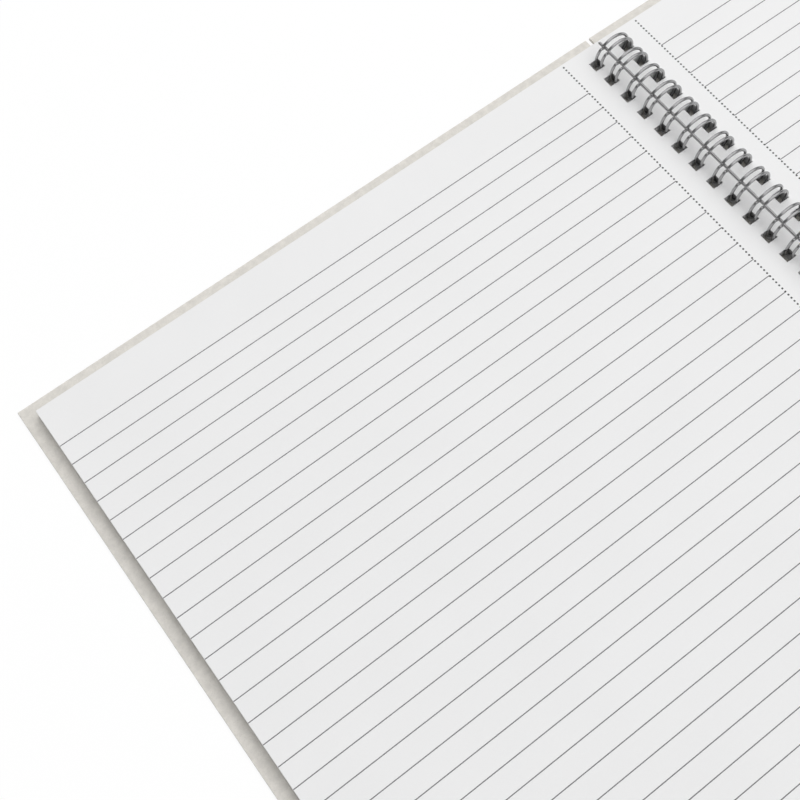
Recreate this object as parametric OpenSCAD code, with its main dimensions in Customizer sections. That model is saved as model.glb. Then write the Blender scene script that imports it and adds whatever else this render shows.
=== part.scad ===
// Open twin-loop notebook, lying flat and opened in the middle.
// A stiff cover and a block of ruled sheets lie on each side, and one bent wire binds them.
// X runs across the open book, Y along the binding towards the head, and Z up from the table.
// The origin is on the table, under the gutter and halfway along the binding.
// Each half is drawn level, outwards from the axis of the loops, and is then let down
// until the fore edge of its cover meets the table.

/* [Sheets] */
// Width of the sheets, from the gutter to the fore edge
page_w = 215.9; // [120:0.1:260]
// Length of the sheets, along the binding
page_l = 279.4; // [180:0.1:360]
// Thickness of the sheets on the left, pressed together
left_stack = 3.7; // [1:0.1:5]
// Thickness of the sheets on the right, pressed together
right_stack = 3.7; // [1:0.1:5]
// Gap between the two blocks of sheets, where it is narrowest
gutter_gap = 0.15; // [0.1:0.05:2]
// How far the top sheets lie below the axis of the loops
page_drop = 0.62; // [0.5:0.01:2]

/* [Covers] */
// Thickness of a cover board
board_t = 1; // [0.8:0.1:3]
// How far a cover stands past the sheets at the head and at the tail
head_overhang = 5; // [0:0.1:8]
// How far a cover stands past the sheets at the fore edge
fore_overhang = 5; // [0:0.1:8]
// Gap between the two covers, where it is narrowest
cover_gap = 1.4; // [0.4:0.1:3]

/* [Punched holes] */
// From hole to hole along the binding
hole_pitch = 8.33; // [7.2:0.01:12]
// From the first hole to the second, and the same at the tail
end_gap = 7.5; // [7:0.1:12]
// Least distance from the head or tail of the sheets to the middle of the nearest hole
end_margin = 7; // [5:0.1:12]
// Distance from the gutter to the middle of a hole in the sheets
hole_x = 6.3; // [5:0.1:9]
// Room beside the wires in a hole, along the binding
hole_play = 0.2; // [0.1:0.05:0.4]
// Room beside the wires in a hole, across the binding
hole_room = 0.25; // [0.2:0.05:0.5]

/* [Wire] */
// Thickness of the wire
wire_d = 0.9; // [0.7:0.05:1.2]
// Distance between the two wires of a loop, from middle to middle
pair_gap = 2.5; // [2:0.1:3]
// Room under the covers, down to the wire that passes beneath them
under_room = 0.9; // [0.5:0.1:2]
// How far the axis of the loops lies right of the gutter
loop_shift = 0.9; // [-1.5:0.1:1.5]
// Direction of the seam from the axis of the loops, anticlockwise from the right
seam_angle = 129; // [90:1:140]
// Radius of the bend from the seam into a loop
bend_r = 0.8; // [0.7:0.05:1.6]
// Room between the closed tip of a loop and the bends on both sides of it
tip_play = 0.08; // [0.05:0.01:0.3]
// How far the wire runs on past its first and last bends
seam_end = 1.4; // [0.5:0.1:3]

/* [Hidden] */
// How far a cutting shape passes through the faces that it opens
through = 1;
// How far two runs of the seam lap where they meet halfway between loops
seam_lap = 0.05;
// Smoothness of the wire's section, and of its bends and loops
wire_fn = 32;
bend_fn = 48;
loop_fn = 120;

wire_r = wire_d / 2;
loop_r = page_drop + max(left_stack, right_stack) + board_t + under_room + wire_r;
axis_z = loop_r + wire_r;
hole_side = pair_gap + wire_d + 2 * hole_play;

// Fore edges of the sheets and of the covers, measured from the gutter
page_x = page_w + gutter_gap / 2;
cover_x = page_x + fore_overhang;
cover_l = page_l + 2 * head_overhang;

// Holes along the binding: as many as fit at their pitch, and one more near each end
row_gaps = floor((page_l - 2 * (end_margin + end_gap)) / hole_pitch);
row_top = row_gaps / 2 * hole_pitch;
hole_ys = concat(
    [row_top + end_gap],
    [for (i = [0:row_gaps]) row_top - i * hole_pitch],
    [-row_top - end_gap]
);

// An angle to a thousandth of a degree, so that arcs which start and end there meet exactly
function snap(angle) = round(angle * 1000) / 1000;

// The legs of a loop bend into the seam, and its closed tip nests between those bends
leg_angle = snap(seam_angle - atan2(bend_r, loop_r));
nest_r = pair_gap / 2 + bend_r;
tip_reach = sqrt(pow(nest_r + wire_d + tip_play, 2) - pow(nest_r, 2));
tip_angle = leg_angle + snap(2 * asin(tip_reach / (2 * loop_r)));

// A half is measured outwards from the axis of the loops. Its side is 1 on the right and -1 on
// the left, and this is where it has the gutter.
function gutter_at(side) = -side * loop_shift;

// Depth of a half's underside below the axis, and the angle by which it is let down
function half_depth(stack) = page_drop + stack + board_t;
function half_tilt(side, stack) =
    asin(axis_z / norm([gutter_at(side) + cover_x, half_depth(stack)]))
    - atan2(half_depth(stack), gutter_at(side) + cover_x);

// Where a face that lies next to the gutter starts, so that the tilted half keeps its gap
function inner_x(gap, depth, side, stack) =
    (gutter_at(side) + gap / 2) / cos(half_tilt(side, stack)) + depth * tan(half_tilt(side, stack));

// How far out the wire stands at a depth below the axis, with the room beside it
function wire_outside(depth) = sqrt(pow(loop_r + wire_r, 2) - pow(depth, 2)) + hole_room;
function wire_inside(depth) = sqrt(pow(loop_r - wire_r, 2) - pow(depth, 2)) - hole_room;

// One flat layer of a half, punched along the binding. The wall of a hole that lies next to
// the gutter may slope from its place in the top face to its place in the underside.
module punched_layer(top, thickness, from_x, to_x, length, top_wall, bottom_wall, outer_wall) {
    bottom = top + thickness;
    run_on = (top_wall - bottom_wall) / thickness * through;
    difference() {
        translate([from_x, -length / 2, -bottom])
            cube([to_x - from_x, length, thickness]);
        for (y = hole_ys)
            translate([0, y + hole_side / 2, 0])
                rotate([90, 0, 0])
                    linear_extrude(hole_side)
                        polygon([
                            [bottom_wall - run_on, -bottom - through],
                            [outer_wall, -bottom - through],
                            [outer_wall, -top + through],
                            [top_wall + run_on, -top + through]
                        ]);
    }
}

// The sheets have their holes at the set distance from the gutter. The holes are wider only
// where the wire would touch a wall.
module sheets(side, stack) {
    bottom = page_drop + stack;
    middle = gutter_at(side) + hole_x;
    top_wall = min(middle - hole_side / 2, wire_inside(page_drop));
    punched_layer(
        page_drop, stack,
        inner_x(gutter_gap, bottom, side, stack), gutter_at(side) + page_x, page_l,
        top_wall, min(top_wall, wire_inside(bottom)),
        max(middle + hole_side / 2, wire_outside(page_drop))
    );
}

module board(side, stack) {
    top = page_drop + stack;
    bottom = top + board_t;
    punched_layer(
        top, board_t,
        inner_x(cover_gap, bottom, side, stack), gutter_at(side) + cover_x, cover_l,
        wire_inside(bottom), wire_inside(bottom), wire_outside(top)
    );
}

module on_axis() {
    translate([loop_shift, 0, axis_z])
        children();
}

// Lets a half down about the axis of the loops
module let_down(side, stack) {
    rotate([0, half_tilt(side, stack), 0])
        children();
}

module front_cover() {
    color([0.85, 0.84, 0.82])
        on_axis()
            mirror([1, 0, 0])
                let_down(-1, left_stack)
                    board(-1, left_stack);
}

module left_pages() {
    color([0.93, 0.93, 0.94])
        on_axis()
            mirror([1, 0, 0])
                let_down(-1, left_stack)
                    sheets(-1, left_stack);
}

module right_pages() {
    color([0.93, 0.93, 0.94])
        on_axis()
            let_down(1, right_stack)
                sheets(1, right_stack);
}

module back_cover() {
    color([0.85, 0.84, 0.82])
        on_axis()
            let_down(1, right_stack)
                board(1, right_stack);
}

// A stretch of wire bent round the local Z axis, from the X axis on
module bent_wire(radius, sweep, smoothness) {
    rotate_extrude(angle = sweep, $fn = smoothness)
        translate([radius, 0])
            circle(d = wire_d, $fn = wire_fn);
}

// Places its children on the ring of a loop, with X outwards and Y anticlockwise along it
module on_loop(angle) {
    rotate([0, 0, angle])
        translate([loop_r, 0, 0])
            children();
}

// One of the two wires of a loop, the bend that joins it to the seam, and its run of the seam.
// Side is 1 towards the tail and -1 towards the head.
module loop_leg(side, run) {
    translate([0, 0, side * pair_gap / 2]) {
        rotate([0, 0, tip_angle])
            bent_wire(loop_r, 360 - tip_angle + leg_angle, loop_fn);
        on_loop(leg_angle) {
            translate([0, 0, side * bend_r])
                rotate([0, 90, 0])
                    rotate([0, 0, side > 0 ? 0 : 90])
                        bent_wire(bend_r, 90, bend_fn);
            translate([0, bend_r, side * bend_r])
                rotate([side > 0 ? 0 : 180, 0, 0])
                    cylinder(h = run, d = wire_d, $fn = wire_fn);
        }
    }
}

// The closed tip that joins the two wires of a loop
module loop_tip() {
    on_loop(tip_angle)
        rotate([0, 90, 0])
            rotate([0, 0, 180])
                bent_wire(pair_gap / 2, 180, bend_fn);
}

// Half the straight seam between the loop in place i and the next one, or the wire's end
function seam_run(i) =
    i < 0 || i > len(hole_ys) - 2
        ? seam_end
        : (hole_ys[i] - hole_ys[i + 1]) / 2 - nest_r + seam_lap;

module binding_wire() {
    color([0.62, 0.62, 0.63])
        on_axis()
            for (i = [0:len(hole_ys) - 1])
                translate([0, hole_ys[i], 0])
                    rotate([90, 0, 0]) {
                        loop_leg(-1, seam_run(i - 1));
                        loop_leg(1, seam_run(i));
                        loop_tip();
                    }
}

front_cover();
left_pages();
binding_wire();
right_pages();
back_cover();
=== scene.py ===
"""Dresses the open twin-loop notebook: sheets, print, covers, binding wire, stage and camera."""

import math

import bmesh
import bpy
import numpy as np
from bpy.props import FloatProperty, FloatVectorProperty, IntProperty, PointerProperty
from mathutils import Matrix, Vector


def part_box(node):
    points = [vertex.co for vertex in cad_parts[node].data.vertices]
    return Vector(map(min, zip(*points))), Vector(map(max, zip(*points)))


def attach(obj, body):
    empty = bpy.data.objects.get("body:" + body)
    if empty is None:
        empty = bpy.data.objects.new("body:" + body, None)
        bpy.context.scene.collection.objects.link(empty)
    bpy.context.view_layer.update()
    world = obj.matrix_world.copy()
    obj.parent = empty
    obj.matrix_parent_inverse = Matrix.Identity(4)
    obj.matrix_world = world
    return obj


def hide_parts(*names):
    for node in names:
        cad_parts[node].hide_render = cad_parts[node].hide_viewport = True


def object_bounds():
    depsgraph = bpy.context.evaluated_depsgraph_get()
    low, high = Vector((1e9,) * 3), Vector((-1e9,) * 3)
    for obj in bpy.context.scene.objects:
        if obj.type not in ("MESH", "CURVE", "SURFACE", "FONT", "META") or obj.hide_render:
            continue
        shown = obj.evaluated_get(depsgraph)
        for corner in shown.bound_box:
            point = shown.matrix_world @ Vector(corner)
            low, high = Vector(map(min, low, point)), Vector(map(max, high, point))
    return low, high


bl_info = {
    "name": "Open Twin-Loop Notebook",
    "version": (1, 0, 0),
    "blender": (4, 5, 0),
    "location": "3D View > Sidebar > Notebook",
    "description": "Builds the sheets, print, covers and binding wire of an open notebook",
    "category": "Object",
}

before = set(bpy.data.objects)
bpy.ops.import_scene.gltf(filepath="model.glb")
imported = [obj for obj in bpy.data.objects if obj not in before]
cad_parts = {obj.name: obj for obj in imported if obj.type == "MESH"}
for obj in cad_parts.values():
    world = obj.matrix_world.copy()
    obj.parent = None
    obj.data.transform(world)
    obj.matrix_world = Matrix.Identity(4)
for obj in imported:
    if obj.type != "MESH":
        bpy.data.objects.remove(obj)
CAD_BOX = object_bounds()

MM = 0.001

# A CAD face whose normal rises at least this much is an upper face
FACE_UP = 0.9

# Print and painted shade: how far the lines stop short of the fore edge, and how far the printed
# lines and the perforations' painted-shade discs lie in and over a sheet
EDGE_INSET = 0.05 * MM
MARK_SINK = 0.02 * MM
MARK_RISE = 0.012 * MM
DOT_SIDES = 12

# Covers: faces across a worn edge
WORN_EDGE_STEPS = 3

# Wire: its steps round the rings and bends, and the run over which a tip is pressed in
RING_STEP = math.radians(4.5)
BEND_STEPS = 6
TUCK_RUN = 1.0 * MM
TUCK_STEPS = 5

# Floor: the strip under the binding, from the gutter out and short of its ends, hardly glows
FLOOR_HALF = 12.0
FLOOR_COLOR = (0.98, 0.98, 0.98, 1.0)
FOOTPRINT_INSET = 6 * MM
BINDING_SHADE = (12 * MM, 40 * MM)
BINDING_GLOW = 0.06

# Light: the lamp, seen from the gutter, then the room's pale wall, which ends as the view rises,
# and the bright strip overhead, which fades with the cosine of the angle from its middle
LAMP_WAY = Vector((0.55, 0.33, 0.77)).normalized()
LAMP_DISTANCE = 1.6
LAMP_WIDTH = 1.5
WALL_FADE = (0.2, 0.05)
STRIP_WAY = Vector((0.375, 0.0, 0.927)).normalized()
STRIP_FADE = (math.cos(math.radians(42)), math.cos(math.radians(28)))

# Camera: its sensor's width in millimetres, and the nearest distance that it shows
SENSOR_WIDTH = 36.0
CLIP_START = 10 * MM

HALVES = {
    "left": {"side": -1, "body": "front_half", "pages": "left_pages", "cover": "front_cover"},
    "right": {"side": 1, "body": "back_half", "pages": "right_pages", "cover": "back_cover"},
}


class NotebookPaper(bpy.types.PropertyGroup):
    """Sheets, what is printed and punched on them, and the painted shade of their perforations."""

    sheets: IntProperty(
        name="Sheets", description="Sheets in each half of the notebook", default=24, min=4, max=60
    )
    thickness_share: FloatProperty(
        name="Thickness share", description="Share of a sheet's place in the block that it fills",
        default=0.86, min=0.5, max=0.98, subtype="FACTOR",
    )
    edge_spread: FloatProperty(
        name="Edge spread", description="How unevenly the sheets' edges lie over each other",
        default=0.09 * MM, unit="LENGTH",
    )
    line_spacing: FloatProperty(
        name="Line spacing", description="From one ruled line to the next",
        default=7.14 * MM, unit="LENGTH",
    )
    first_line: FloatProperty(
        name="First line", description="From the head of the page to the first ruled line",
        default=14.26 * MM, unit="LENGTH",
    )
    foot_margin: FloatProperty(
        name="Foot margin", description="Least distance from the last ruled line to the foot",
        default=12.0 * MM, unit="LENGTH",
    )
    line_width: FloatProperty(
        name="Line width", description="Width of a ruled line", default=0.3 * MM, unit="LENGTH"
    )
    perforation_x: FloatProperty(
        name="Perforation", description="From the gutter to the line of perforations",
        default=15.49 * MM, unit="LENGTH",
    )
    dot_pitch: FloatProperty(
        name="Perforation pitch", description="From one perforation to the next",
        default=1.337 * MM, unit="LENGTH",
    )
    dot_width: FloatProperty(
        name="Perforation width", description="Width of one perforation",
        default=0.66 * MM, unit="LENGTH",
    )
    color: FloatVectorProperty(
        name="Paper", description="Colour of the sheets", subtype="COLOR", size=3,
        default=(0.858, 0.858, 0.860),
    )
    line_color: FloatVectorProperty(
        name="Ruling", description="Colour of the ruled lines", subtype="COLOR", size=3,
        default=(0.20, 0.20, 0.205),
    )
    # Painted shade: each perforation is a dark disc on the top sheet, standing in for the shade
    # inside a real hole
    dot_shade_color: FloatVectorProperty(
        name="Perforations", description="Colour inside the perforations", subtype="COLOR", size=3,
        default=(0.09, 0.09, 0.092),
    )


class NotebookCover(bpy.types.PropertyGroup):
    """Cover boards."""

    edge_round: FloatProperty(
        name="Edge round", description="Radius of the board's worn edges",
        default=0.25 * MM, unit="LENGTH",
    )
    color: FloatVectorProperty(
        name="Board", description="Colour of the covers", subtype="COLOR", size=3,
        default=(0.735, 0.71, 0.665),
    )
    fleck_color: FloatVectorProperty(
        name="Flecks", description="Colour of the flecks in the board", subtype="COLOR", size=3,
        default=(0.60, 0.57, 0.52),
    )


class NotebookWire(bpy.types.PropertyGroup):
    """The bent wire that binds the notebook."""

    diameter: FloatProperty(
        name="Wire", description="Thickness of the wire", default=1.0 * MM, unit="LENGTH"
    )
    pair_gap: FloatProperty(
        name="Pair gap", description="Between the two wires of a loop, from middle to middle",
        default=2.5 * MM, unit="LENGTH",
    )
    bend: FloatProperty(
        name="Bend", description="Radius of the bend from the seam into a loop",
        default=0.5 * MM, unit="LENGTH",
    )
    corner: FloatProperty(
        name="Tip corner", description="Radius of the two corners of a loop's closed tip",
        default=0.45 * MM, unit="LENGTH",
    )
    tuck: FloatProperty(
        name="Tuck", description="How far the closed tips are pressed in behind the seam",
        default=0.93 * MM, unit="LENGTH",
    )
    seam_angle: FloatProperty(
        name="Seam angle", description="Direction of the seam from the axis of the loops",
        default=math.radians(129), subtype="ANGLE",
    )
    seam_end: FloatProperty(
        name="Seam end", description="How far the wire runs on past its first and last bends",
        default=1.4 * MM, unit="LENGTH",
    )
    sides: IntProperty(
        name="Sides", description="Faces round the wire", default=12, min=8, max=24
    )
    color: FloatVectorProperty(
        name="Plating", description="Colour of the plated wire", subtype="COLOR", size=3,
        default=(0.38, 0.38, 0.385),
    )
    roughness: FloatProperty(
        name="Roughness", description="Roughness of the plating", default=0.24, subtype="FACTOR"
    )


class NotebookStage(bpy.types.PropertyGroup):
    """Camera, lamps and floor."""

    camera_place: FloatVectorProperty(
        name="Camera", description="Where the camera stands", subtype="TRANSLATION", size=3,
        default=(-0.19718, -0.05381, 0.34461),
    )
    camera_turn: FloatVectorProperty(
        name="Camera turn", description="Rotation of the camera", subtype="EULER", size=3,
        default=tuple(math.radians(turn) for turn in (23.09, 1.518, -37.179)),
    )
    focal_length: FloatProperty(
        name="Focal length", description="Focal length of the camera, in millimetres",
        default=56.422, min=10.0,
    )
    shift: FloatProperty(
        name="Shift", description="Sideways shift of the camera's frame", default=-0.0625
    )
    sky: FloatProperty(
        name="Sky", description="Strength of the soft light from all round", default=0.2
    )
    horizon: FloatProperty(
        name="Horizon", description="Strength of the pale wall just over the floor", default=1.0
    )
    strip: FloatProperty(
        name="Strip", description="Strength of the long bright strip overhead", default=1.3
    )
    key_light: FloatProperty(
        name="Key light", description="Light that the large lamp throws on the page", default=0.8
    )
    floor_glow: FloatProperty(
        name="Floor glow", description="Share of the floor's white that no shadow darkens",
        default=0.92, subtype="FACTOR",
    )


class Field:
    """A number that varies over a surface. An expression on it adds its Math nodes."""

    def __init__(self, wiring, socket):
        self.wiring = wiring
        self.socket = socket

    def _math(self, operation, first, second):
        return self.wiring.node("ShaderNodeMath", {"operation": operation}, {0: first, 1: second})

    def __add__(self, other):
        return self._math("ADD", self, other)

    def __sub__(self, other):
        return self._math("SUBTRACT", self, other)

    def __mul__(self, other):
        return self._math("MULTIPLY", self, other)

    def __gt__(self, other):
        return self._math("GREATER_THAN", self, other)

    def __or__(self, other):
        return self._math("MAXIMUM", self, other)

    def __abs__(self):
        return self._math("ABSOLUTE", self, 0.0)

    def beside(self, name):
        """Another output of the same node."""
        return Field(self.wiring, self.socket.node.outputs[name])


class Wiring:
    """A node tree being built. Every node comes from its node method."""

    def __init__(self, tree):
        self.tree = tree

    def join(self, socket, value):
        if isinstance(value, Field):
            self.tree.links.new(value.socket, socket)
        else:
            socket.default_value = value

    def node(self, kind, settings=None, sockets=None, output=0):
        made = self.tree.nodes.new(kind)
        for name, value in (settings or {}).items():
            setattr(made, name, value)
        for name, value in (sockets or {}).items():
            self.join(made.inputs[name], value)
        return Field(self, made.outputs[output])

    def mix(self, share, first, second):
        """A colour between two colours."""
        return self.node(
            "ShaderNodeMix", {"data_type": "RGBA"}, {0: share, 6: first, 7: second}, output=2
        )

    def ramp(self, value, low, high):
        """0 where the value is low, 1 where it is high, and even between."""
        return self.node(
            "ShaderNodeMapRange", None, {"Value": value, "From Min": low, "From Max": high}
        )


class Finish(Wiring):
    """A material on one Principled shader, whose patterns read Object coordinates."""

    def __init__(self, name, roughness, metallic=0.0, specular=0.5):
        self.material = bpy.data.materials.new(name)
        self.material.use_nodes = True
        super().__init__(self.material.node_tree)
        self.shader = self.tree.nodes["Principled BSDF"]
        self.shader.inputs["Roughness"].default_value = roughness
        self.shader.inputs["Metallic"].default_value = metallic
        self.shader.inputs["Specular IOR Level"].default_value = specular
        self.place = self.node("ShaderNodeTexCoord", output=3)

    def set(self, name, value):
        self.join(self.shader.inputs[name], value)

    def noise(self, scale, detail=4.0, roughness=0.5):
        return self.node("ShaderNodeTexNoise", None, {
            "Vector": self.place, "Scale": scale, "Detail": detail, "Roughness": roughness,
        })

    def bump(self, height, distance, strength):
        self.set("Normal", self.node(
            "ShaderNodeBump", None, {"Height": height, "Distance": distance, "Strength": strength}
        ))


def shade(color, factor=1.0):
    """The opaque colour, darker or lighter by the factor."""
    return (*(channel * factor for channel in color), 1.0)


def paper_finish(color):
    """Smooth white writing paper: soft clouds in its tone and a fine tooth."""
    finish = Finish("writing_paper", roughness=0.85, specular=0.25)
    clouds = finish.noise(scale=38.0, detail=3.0)
    fibres = finish.noise(scale=2600.0, detail=2.0)
    tone = finish.ramp(clouds * 0.6 + fibres * 0.4, 0.3, 0.7)
    finish.set("Base Color", finish.mix(tone, shade(color, 0.972), shade(color)))
    finish.set("Roughness", fibres * 0.12 + 0.78)
    finish.bump(fibres, 0.02 * MM, strength=0.35)
    return finish.material


def shaded_cut_edge_finish(color):
    """The walls of the punched holes: the cut sheets, with painted shade, darker than the sheets'
    faces to stand in for the shade inside the holes.
    """
    finish = Finish("punched_edges", roughness=0.95, specular=0.1)
    fibres = finish.noise(scale=1800.0, detail=3.0)
    # Painted shade: the walls take 0.55 to 0.90 of the paper's colour, varied by the fibres, in
    # place of the shade that falls inside the holes
    finish.set("Base Color", finish.mix(fibres, shade(color, 0.55), shade(color, 0.90)))
    return finish.material


def ink_or_shade_finish(name, color, strength):
    """Grey printing ink, and the dark painted shade of the perforations' holes, uneven by this
    strength along its run.
    """
    finish = Finish(name, roughness=0.8, specular=0.2)
    wear = finish.noise(scale=900.0, detail=3.0)
    worn, full = shade(color, 1 - strength), shade(color, 1 + strength)
    finish.set("Base Color", finish.mix(wear, worn, full))
    return finish.material


def board_finish(color, fleck):
    """Pressed grey board: clouds, fine flecks and a felt-like tooth."""
    finish = Finish("cover_board", roughness=0.8, specular=0.3)
    clouds = finish.ramp(finish.noise(scale=420.0, detail=6.0, roughness=0.7), 0.36, 0.64)
    grain = finish.noise(scale=1500.0, detail=4.0, roughness=0.65)
    flecks = finish.ramp(finish.noise(scale=3200.0, detail=2.0), 0.58, 0.72)
    base = finish.mix(clouds, shade(color, 0.91), shade(color, 1.05))
    finish.set("Base Color", finish.mix(flecks * 0.55, base, shade(fleck)))
    finish.set("Roughness", grain * 0.15 + 0.72)
    finish.bump(grain, 0.05 * MM, strength=0.5)
    return finish.material


def wire_finish(color, roughness):
    """Plated steel wire with faint drawing marks."""
    finish = Finish("plated_wire", roughness=roughness, metallic=1.0)
    marks = finish.noise(scale=700.0, detail=4.0, roughness=0.6)
    patches = finish.noise(scale=90.0, detail=2.0)
    finish.set("Base Color", finish.mix(patches, shade(color, 0.9), shade(color, 1.06)))
    finish.set("Roughness", marks * 0.14 + (roughness - 0.07))
    finish.bump(marks, 0.004 * MM, strength=0.4)
    return finish.material


class Half:
    """One half of the open notebook, read from a CAD node: its own frame, faces and holes.

    In that frame the first axis runs outwards from the gutter along the sloping face, the second
    along the binding and the third up from the face.
    """

    def __init__(self, half, node):
        self.side = HALVES[half]["side"]
        self.body = HALVES[half]["body"]
        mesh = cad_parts[node].data
        mesh.calc_loop_triangles()
        face = max(
            (t for t in mesh.loop_triangles if t.normal.z > FACE_UP), key=lambda t: t.area
        )
        up = Vector((face.normal.x, 0.0, face.normal.z)).normalized()
        along = Vector((0.0, self.side, 0.0))
        self.to_world = Matrix((along.cross(up), along, up)).transposed().to_4x4()
        places = np.array([v.co for v in mesh.vertices]) @ np.array(self.to_world.to_3x3())
        self.bottom, self.top = self.merged(places[:, 2])
        upper = places[:, 2] > (self.bottom + self.top) / 2
        self.gutter, self.hole_in, self.hole_out, self.fore = self.merged(places[upper, 0])
        lower_in = self.merged(places[~upper, 0])[1]
        self.lean = (self.hole_in - lower_in) / (self.top - self.bottom)
        lengthwise = self.merged(places[:, 1])
        self.foot, self.head = lengthwise[0], lengthwise[-1]
        self.holes = list(zip(lengthwise[1:-1:2], lengthwise[2:-1:2]))

    @staticmethod
    def merged(values, least=0.02 * MM):
        """The values in order, with near copies left out."""
        values = sorted(values)
        kept = values[:1]
        for value in values[1:]:
            if value - kept[-1] > least:
                kept.append(value)
        return kept

    def from_head(self, distance):
        """The place along the binding that lies this far below the head of the sheets."""
        return self.side * ((self.head if self.side > 0 else -self.foot) - distance)

    def punched_mesh(self, name, bottom, top):
        """A flat plate with the node's outline and holes.

        Faces of the holes are marked as punched, and points of their walls beside the gutter
        as inner_wall.
        """
        across = [self.gutter, self.hole_in, self.hole_out, self.fore]
        along = [self.foot, *(edge for hole in self.holes for edge in hole), self.head]
        mesh = bmesh.new()
        punched = mesh.faces.layers.bool.new("punched")
        inner_wall = mesh.verts.layers.bool.new("inner_wall")
        floors = [
            [[mesh.verts.new((x, y, z)) for y in along] for x in across] for z in (bottom, top)
        ]
        for floor in floors:
            for point in floor[1]:
                point[inner_wall] = True

        def solid(i, j):
            inside = 0 <= i < len(across) - 1 and 0 <= j < len(along) - 1
            return inside and not (i == 1 and j % 2 == 1)

        def wall(first, second, is_hole):
            low, high = floors
            face = mesh.faces.new((
                low[first[0]][first[1]], low[second[0]][second[1]],
                high[second[0]][second[1]], high[first[0]][first[1]],
            ))
            face[punched] = is_hole

        for i in range(len(across) - 1):
            for j in range(len(along) - 1):
                if not solid(i, j):
                    continue
                ring = [(i, j), (i + 1, j), (i + 1, j + 1), (i, j + 1)]
                mesh.faces.new([floors[1][a][b] for a, b in ring])
                mesh.faces.new([floors[0][a][b] for a, b in reversed(ring)])
                neighbours = [(i, j - 1), (i + 1, j), (i, j + 1), (i - 1, j)]
                for step, beside in enumerate(neighbours):
                    if not solid(*beside):
                        is_hole = beside[0] == 1 and 0 <= beside[1] < len(along) - 1
                        wall(ring[step], ring[(step + 1) % 4], is_hole)
        data = bpy.data.meshes.new(name)
        mesh.to_mesh(data)
        mesh.free()
        return data


def new_piece(name, data):
    piece = bpy.data.objects.new(name, data)
    bpy.context.scene.collection.objects.link(piece)
    return piece


class Grower(Wiring):
    """A Geometry Nodes tree with named inputs, which is run once on a piece."""

    def __init__(self, name, inputs):
        tree = bpy.data.node_groups.new(name, "GeometryNodeTree")
        super().__init__(tree)
        tree.interface.new_socket("Geometry", in_out="OUTPUT", socket_type="NodeSocketGeometry")
        tree.interface.new_socket("Geometry", in_out="INPUT", socket_type="NodeSocketGeometry")
        for label, kind in inputs.items():
            tree.interface.new_socket(label, in_out="INPUT", socket_type="NodeSocket" + kind)
        self.entry = tree.nodes.new("NodeGroupInput")

    def input(self, label):
        return Field(self, self.entry.outputs[label])

    def finish(self, geometry):
        leave = self.tree.nodes.new("NodeGroupOutput")
        self.join(leave.inputs["Geometry"], geometry)

    def grow(self, piece, values):
        """Runs the tree on the piece and leaves its result as the piece's plain mesh."""
        modifier = piece.modifiers.new(self.tree.name, "NODES")
        modifier.node_group = self.tree
        for item in self.tree.interface.items_tree:
            if item.in_out == "INPUT" and item.name in values:
                modifier[item.identifier] = values[item.name]
        evaluated = piece.evaluated_get(bpy.context.evaluated_depsgraph_get())
        grown = bpy.data.meshes.new_from_object(evaluated)
        piece.modifiers.remove(modifier)
        name = piece.name
        bpy.data.objects.remove(piece)
        grown.name = name
        return new_piece(name, grown)


def block_tree():
    """Repeats one sheet downwards, each a little out of line.

    The holes' walls beside the gutter move as they lean, so that the wire passes them.
    """
    tree = Grower("sheet_block", {
        "Sheets": "Int", "Pitch": "Float", "Spread": "Float", "Seed": "Int",
        "Top": "Float", "Lean": "Float", "Paper": "Material", "Punched": "Material",
    })
    down = tree.node("ShaderNodeCombineXYZ", None, {"Z": tree.input("Pitch") * -1})
    places = tree.node(
        "GeometryNodeMeshLine", {"mode": "OFFSET"}, {"Count": tree.input("Sheets"), "Offset": down}
    )
    low = tree.node("ShaderNodeCombineXYZ", None, {
        "X": tree.input("Spread") * -1, "Y": tree.input("Spread") * -1,
    })
    high = tree.node("ShaderNodeCombineXYZ", None, {
        "X": tree.input("Spread"), "Y": tree.input("Spread"),
    })
    astray = tree.node("FunctionNodeRandomValue", {"data_type": "FLOAT_VECTOR"}, {
        0: low, 1: high, "Seed": tree.input("Seed"),
    })
    below_top = tree.node("GeometryNodeInputIndex") > 0.5
    moved = tree.node("GeometryNodeSetPosition", None, {
        "Geometry": places, "Selection": below_top, "Offset": astray,
    })
    sheets = tree.node("GeometryNodeInstanceOnPoints", None, {
        "Points": moved, "Instance": tree.input("Geometry"),
    })
    solid = tree.node("GeometryNodeRealizeInstances", None, {"Geometry": sheets})
    height = tree.node("ShaderNodeSeparateXYZ", None, {
        0: tree.node("GeometryNodeInputPosition"),
    }, output="Z")
    leant = tree.node("ShaderNodeCombineXYZ", None, {
        "X": (height - tree.input("Top")) * tree.input("Lean"),
    })
    inner_wall = tree.node("GeometryNodeInputNamedAttribute", {"data_type": "BOOLEAN"}, {
        "Name": "inner_wall",
    })
    cut = tree.node("GeometryNodeSetPosition", None, {
        "Geometry": solid, "Selection": inner_wall, "Offset": leant,
    })
    papered = tree.node("GeometryNodeSetMaterial", None, {
        "Geometry": cut, "Material": tree.input("Paper"),
    })
    punched = tree.node("GeometryNodeInputNamedAttribute", {"data_type": "BOOLEAN"}, {
        "Name": "punched",
    })
    # The holes' walls get the finish with painted shade
    tree.finish(tree.node("GeometryNodeSetMaterial", None, {
        "Geometry": papered, "Selection": punched, "Material": tree.input("Punched"),
    }))
    return tree


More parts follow.
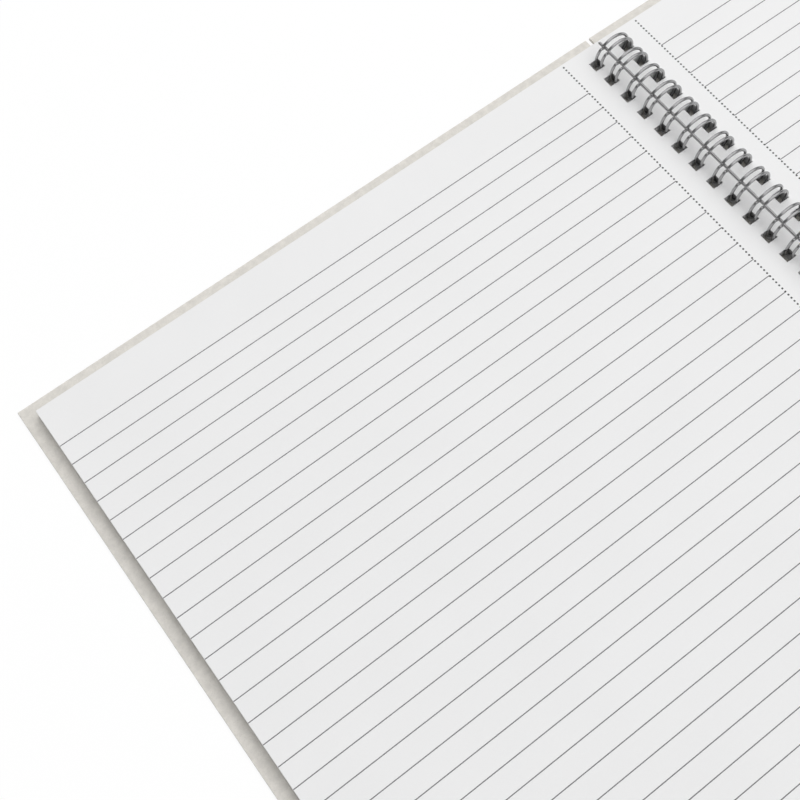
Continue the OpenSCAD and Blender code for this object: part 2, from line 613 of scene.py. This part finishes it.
def row_tree(name):
    """Repeats the piece's own mesh in a straight row along the binding."""
    tree = Grower(name, {"Count": "Int", "Pitch": "Float", "Ink_or_painted_shade": "Material"})
    step = tree.node("ShaderNodeCombineXYZ", None, {"Y": tree.input("Pitch")})
    places = tree.node(
        "GeometryNodeMeshLine", {"mode": "OFFSET"}, {"Count": tree.input("Count"), "Offset": step}
    )
    copies = tree.node("GeometryNodeInstanceOnPoints", None, {
        "Points": places, "Instance": tree.input("Geometry"),
    })
    solid = tree.node("GeometryNodeRealizeInstances", None, {"Geometry": copies})
    tree.finish(tree.node("GeometryNodeSetMaterial", None, {
        "Geometry": solid, "Material": tree.input("Ink_or_painted_shade"),
    }))
    return tree


def sweep_tree():
    """Sweeps a round section along the piece's own path."""
    tree = Grower("wire_sweep", {"Radius": "Float", "Sides": "Int", "Plating": "Material"})
    path = tree.node("GeometryNodeMeshToCurve", None, {"Mesh": tree.input("Geometry")})
    section = tree.node("GeometryNodeCurvePrimitiveCircle", None, {
        "Resolution": tree.input("Sides"), "Radius": tree.input("Radius"),
    })
    swept = tree.node("GeometryNodeCurveToMesh", None, {
        "Curve": path, "Profile Curve": section, "Fill Caps": True,
    })
    smooth = tree.node("GeometryNodeSetShadeSmooth", None, {"Geometry": swept})
    solid = tree.node("GeometryNodeRealizeInstances", None, {"Geometry": smooth})
    tree.finish(tree.node("GeometryNodeSetMaterial", None, {
        "Geometry": solid, "Material": tree.input("Plating"),
    }))
    return tree


def grown_piece(name, data, tree, values):
    return tree.grow(new_piece(name, data), values)


def settle(piece, half):
    """Puts a piece that was built in a half's own frame in place and hands it to that half."""
    piece.data.transform(half.to_world)
    piece.data.update()
    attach(piece, half.body)


def flat_mesh(name, outline, top):
    """A very thin closed plate on the face at this height, a little of it sunk into the face."""
    mesh = bmesh.new()
    low = [mesh.verts.new((x, y, top - MARK_SINK)) for x, y in outline]
    high = [mesh.verts.new((x, y, top + MARK_RISE)) for x, y in outline]
    mesh.faces.new(high)
    mesh.faces.new(low[::-1])
    for a in range(len(outline)):
        b = (a + 1) % len(outline)
        mesh.faces.new((low[a], low[b], high[b], high[a]))
    data = bpy.data.meshes.new(name)
    mesh.to_mesh(data)
    mesh.free()
    return data


class NOTEBOOK_OT_sheets(bpy.types.Operator):
    """Build the two blocks of punched sheets"""

    bl_idname = "notebook.sheets"
    bl_label = "Sheets"

    def execute(self, context):
        paper = context.scene.notebook_paper
        white = paper_finish(paper.color)
        # The holes' walls get a finish with painted shade
        walls = shaded_cut_edge_finish(paper.color)
        tree = block_tree()
        for seed, (name, facts) in enumerate(HALVES.items()):
            half = Half(name, facts["pages"])
            pitch = (half.top - half.bottom) / paper.sheets
            sheet = half.punched_mesh(name, half.top - pitch * paper.thickness_share, half.top)
            piece = grown_piece(name + "_sheets", sheet, tree, {
                "Sheets": paper.sheets, "Pitch": pitch, "Spread": paper.edge_spread,
                "Seed": seed, "Top": half.top, "Lean": half.lean, "Paper": white, "Punched": walls,
            })
            settle(piece, half)
            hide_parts(facts["pages"])
        return {"FINISHED"}


class NOTEBOOK_OT_ruling(bpy.types.Operator):
    """Print the ruled lines on the top sheets"""

    bl_idname = "notebook.ruling"
    bl_label = "Ruling"

    def execute(self, context):
        paper = context.scene.notebook_paper
        ink_or_shade = ink_or_shade_finish("ruling_ink", paper.line_color, strength=0.18)
        tree = row_tree("ruling")
        for name, facts in HALVES.items():
            half = Half(name, facts["pages"])
            length = half.head - half.foot
            ruled = length - paper.first_line - paper.foot_margin
            count = 1 + int(ruled / paper.line_spacing)
            start = half.from_head(paper.first_line)
            inner, outer = paper.perforation_x, half.fore - EDGE_INSET
            low, high = start - paper.line_width / 2, start + paper.line_width / 2
            outline = [(inner, low), (outer, low), (outer, high), (inner, high)]
            strip = flat_mesh(name, outline, half.top)
            piece = grown_piece(name + "_ruling", strip, tree, {
                "Count": count, "Pitch": -half.side * paper.line_spacing, "Ink_or_painted_shade": ink_or_shade,
            })
            settle(piece, half)
        return {"FINISHED"}


class NOTEBOOK_OT_perforation(bpy.types.Operator):
    """Lay the tear-off line beside the binding as dark discs of painted shade"""

    bl_idname = "notebook.perforation"
    bl_label = "Perforation"

    def execute(self, context):
        paper = context.scene.notebook_paper
        # Painted shade: dark discs stand in for the shade inside the perforations' holes
        ink_or_shade = ink_or_shade_finish("perforation_shade", paper.dot_shade_color, strength=0.3)
        tree = row_tree("perforation")
        for name, facts in HALVES.items():
            half = Half(name, facts["pages"])
            length = half.head - half.foot
            count = int(length / paper.dot_pitch)
            first = half.foot + (length - (count - 1) * paper.dot_pitch) / 2
            turns = [math.tau * step / DOT_SIDES for step in range(DOT_SIDES)]
            radius = paper.dot_width / 2
            dot = flat_mesh(name, [
                (paper.perforation_x + radius * math.cos(turn), first + radius * math.sin(turn))
                for turn in turns
            ], half.top)
            piece = grown_piece(name + "_perforation", dot, tree, {
                "Count": count, "Pitch": paper.dot_pitch, "Ink_or_painted_shade": ink_or_shade,
            })
            settle(piece, half)
        return {"FINISHED"}


class NOTEBOOK_OT_covers(bpy.types.Operator):
    """Build the two cover boards"""

    bl_idname = "notebook.covers"
    bl_label = "Covers"

    def execute(self, context):
        cover = context.scene.notebook_cover
        board = board_finish(cover.color, cover.fleck_color)
        for name, facts in HALVES.items():
            half = Half(name, facts["cover"])
            title = facts["cover"] + "_board"
            data = half.punched_mesh(title, half.bottom, half.top)
            data.materials.append(board)
            piece = new_piece(title, data)
            bevel = piece.modifiers.new("worn_edges", "BEVEL")
            bevel.width = cover.edge_round
            bevel.segments = WORN_EDGE_STEPS
            bevel.limit_method = "ANGLE"
            settle(piece, half)
            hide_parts(facts["cover"])
        return {"FINISHED"}


def wire_path(wire):
    """The middle line of the whole wire, from its head end through every loop to its tail end."""
    low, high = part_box("binding_wire")
    radius = (high.x - low.x - wire.diameter) / 2
    axis = Vector(((low.x + high.x) / 2, 0.0, low.z + (high.x - low.x) / 2))
    pages = Half("right", "right_pages")
    centres = sorted(((a + b) / 2 for a, b in pages.holes), reverse=True)
    leg = wire.seam_angle - math.atan2(wire.bend, radius)
    tip = leg + (wire.bend + wire.corner) / radius
    half_gap = wire.pair_gap / 2
    nest = half_gap + wire.bend
    whole = math.tau - (tip - leg)
    free = whole - TUCK_RUN / radius
    steps = math.ceil(free / RING_STEP)
    points = []

    def add(angle, along, ahead=0.0, inset=0.0):
        out = Vector((math.cos(angle), 0.0, math.sin(angle)))
        forward = Vector((-math.sin(angle), 0.0, math.cos(angle)))
        place = axis + out * (radius - inset) + forward * ahead
        points.append(place + Vector((0.0, along, 0.0)))

    def bend(centre, way, turns):
        for turn in turns:
            along = centre + way * (half_gap + wire.bend * (1 - math.cos(turn)))
            add(leg, along, wire.bend * math.sin(turn))

    def tip_corner(centre, way, turns):
        for turn in turns:
            along = centre + way * (half_gap - wire.corner * (1 - math.cos(turn)))
            add(tip, along, -wire.corner * math.sin(turn), wire.tuck)

    def tucked(turned):
        """How far the wire is pressed in, smoothly, after this much of its way from the leg."""
        left = min((whole - turned) * radius / TUCK_RUN, 1.0)
        return wire.tuck * (1 - left * left * (3 - 2 * left))

    quarter = [math.pi / 2 * step / BEND_STEPS for step in range(BEND_STEPS + 1)]
    ring = [free * step / steps for step in range(1, steps)]
    ring += [free + (whole - free) * step / TUCK_STEPS for step in range(TUCK_STEPS)]
    add(leg, centres[0] + nest + wire.seam_end, wire.bend)
    for centre in centres:
        bend(centre, 1, reversed(quarter))
        for turned in ring:
            add(leg - turned, centre + half_gap, 0.0, tucked(turned))
        tip_corner(centre, 1, quarter)
        tip_corner(centre, -1, reversed(quarter))
        for turned in reversed(ring):
            add(leg - turned, centre - half_gap, 0.0, tucked(turned))
        bend(centre, -1, quarter)
    add(leg, centres[-1] - nest - wire.seam_end, wire.bend)
    return points


class NOTEBOOK_OT_wire(bpy.types.Operator):
    """Bend the binding wire through the punched holes"""

    bl_idname = "notebook.wire"
    bl_label = "Binding wire"

    def execute(self, context):
        wire = context.scene.notebook_wire
        points = wire_path(wire)
        data = bpy.data.meshes.new("path")
        data.from_pydata(points, [(i, i + 1) for i in range(len(points) - 1)], [])
        plating = wire_finish(wire.color, wire.roughness)
        piece = grown_piece("twin_loop_wire", data, sweep_tree(), {
            "Radius": wire.diameter / 2, "Sides": wire.sides, "Plating": plating,
        })
        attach(piece, "binding")
        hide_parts("binding_wire")
        return {"FINISHED"}


def set_sky(scene, all_round, horizon, strip):
    """A soft room: a pale wall round the floor and one long strip overhead, along the binding."""
    world = bpy.data.worlds.new("soft_studio")
    world.use_nodes = True
    sky = Wiring(world.node_tree)
    way = sky.node("ShaderNodeTexCoord", output="Generated")
    level = sky.node(
        "ShaderNodeVectorMath", {"operation": "MULTIPLY"}, {0: way, 1: (1.0, 0.0, 1.0)}
    )
    across = sky.node("ShaderNodeVectorMath", {"operation": "NORMALIZE"}, {0: level})
    near = sky.node(
        "ShaderNodeVectorMath", {"operation": "DOT_PRODUCT"}, {0: across, 1: STRIP_WAY},
        output="Value",
    )
    share = sky.ramp(near, *STRIP_FADE)
    height = sky.node("ShaderNodeSeparateXYZ", None, {0: way}, output="Z")
    wall = sky.ramp(height, *WALL_FADE)
    strength = share * (strip - all_round) + wall * (horizon - all_round) + all_round
    background = world.node_tree.nodes["Background"]
    background.inputs["Color"].default_value = (1.0, 1.0, 1.0, 1.0)
    sky.join(background.inputs["Strength"], strength)
    scene.world = world


def set_floor(glow):
    """A white floor that stays white in the picture and still takes the object's shadow.

    Below the binding it hardly glows, so that the punched holes look down into the dark.
    """
    finish = Finish("white_floor", roughness=0.9, specular=0.0)
    finish.set("Base Color", FLOOR_COLOR)
    low, high = CAD_BOX
    half_y = (high.y - low.y) / 2 - FOOTPRINT_INSET
    across = finish.node("ShaderNodeSeparateXYZ", None, {0: finish.place}, output="X")
    past_ends = abs(across.beside("Y")) > half_y
    open_floor = finish.ramp(abs(across), *BINDING_SHADE) | past_ends | BINDING_GLOW
    camera_ray = finish.node("ShaderNodeLightPath", output="Is Camera Ray")
    seen = (
        camera_ray | camera_ray.beside("Is Glossy Ray") | camera_ray.beside("Is Transmission Ray")
    )
    white = finish.node("ShaderNodeEmission", None, {"Strength": 1.0})
    mixed = finish.node("ShaderNodeMixShader", None, {
        0: seen * open_floor * glow, 1: Field(finish, finish.shader.outputs[0]), 2: white,
    })
    finish.join(finish.tree.nodes["Material Output"].inputs["Surface"], mixed)
    corners = [
        (x * FLOOR_HALF, y * FLOOR_HALF, low.z) for x, y in ((-1, -1), (1, -1), (1, 1), (-1, 1))
    ]
    data = bpy.data.meshes.new("floor")
    data.from_pydata(corners, [], [(0, 1, 2, 3)])
    data.materials.append(finish.material)
    new_piece("floor", data)


def set_lamp(scene, light):
    """One large round lamp above and to the right, towards the head, with this light on a page."""
    data = bpy.data.lights.new("key_lamp", "AREA")
    data.shape = "DISK"
    data.size = LAMP_WIDTH
    data.energy = light * math.pi * LAMP_DISTANCE ** 2 / LAMP_WAY.z
    lamp = bpy.data.objects.new("key_lamp", data)
    lamp.location = LAMP_WAY * LAMP_DISTANCE
    lamp.rotation_euler = LAMP_WAY.to_track_quat("Z", "Y").to_euler()
    lamp.visible_glossy = False
    scene.collection.objects.link(lamp)


def set_camera(scene, stage):
    """The camera, which sees the notebook as the photograph does."""
    data = bpy.data.cameras.new("camera")
    data.lens = stage.focal_length
    data.sensor_width = SENSOR_WIDTH
    data.shift_x = stage.shift
    data.clip_start = CLIP_START
    camera = bpy.data.objects.new("camera", data)
    camera.location = stage.camera_place
    camera.rotation_euler = stage.camera_turn
    scene.collection.objects.link(camera)
    scene.camera = camera


class NOTEBOOK_OT_stage(bpy.types.Operator):
    """Set the floor, the lamps and the camera"""

    bl_idname = "notebook.stage"
    bl_label = "Stage"

    def execute(self, context):
        stage = context.scene.notebook_stage
        context.scene.view_settings.view_transform = "Standard"
        set_sky(context.scene, stage.sky, stage.horizon, stage.strip)
        set_floor(stage.floor_glow)
        set_lamp(context.scene, stage.key_light)
        set_camera(context.scene, stage)
        return {"FINISHED"}


class NOTEBOOK_PT_panel(bpy.types.Panel):
    """Lists the pieces of the notebook"""

    bl_idname = "NOTEBOOK_PT_panel"
    bl_label = "Open Notebook"
    bl_space_type = "VIEW_3D"
    bl_region_type = "UI"
    bl_category = "Notebook"

    def draw(self, context):
        for group, operators in PANEL_ROWS:
            box = self.layout.box()
            settings = getattr(context.scene, group)
            for name in settings.__annotations__:
                box.prop(settings, name)
            for operator in operators:
                box.operator(operator)


GROUPS = {
    "notebook_paper": NotebookPaper,
    "notebook_cover": NotebookCover,
    "notebook_wire": NotebookWire,
    "notebook_stage": NotebookStage,
}
PANEL_ROWS = (
    ("notebook_paper", ("notebook.sheets", "notebook.ruling", "notebook.perforation")),
    ("notebook_cover", ("notebook.covers",)),
    ("notebook_wire", ("notebook.wire",)),
    ("notebook_stage", ("notebook.stage",)),
)
CLASSES = (
    *GROUPS.values(),
    NOTEBOOK_OT_sheets,
    NOTEBOOK_OT_ruling,
    NOTEBOOK_OT_perforation,
    NOTEBOOK_OT_covers,
    NOTEBOOK_OT_wire,
    NOTEBOOK_OT_stage,
    NOTEBOOK_PT_panel,
)


def register():
    for made in CLASSES:
        bpy.utils.register_class(made)
    for name, group in GROUPS.items():
        setattr(bpy.types.Scene, name, PointerProperty(type=group))


def unregister():
    for name in GROUPS:
        delattr(bpy.types.Scene, name)
    for made in reversed(CLASSES):
        bpy.utils.unregister_class(made)


def main():
    register()
    bpy.ops.notebook.sheets()
    bpy.ops.notebook.ruling()
    bpy.ops.notebook.perforation()
    bpy.ops.notebook.covers()
    bpy.ops.notebook.wire()
    bpy.ops.notebook.stage()


if __name__ == "__main__":
    main()
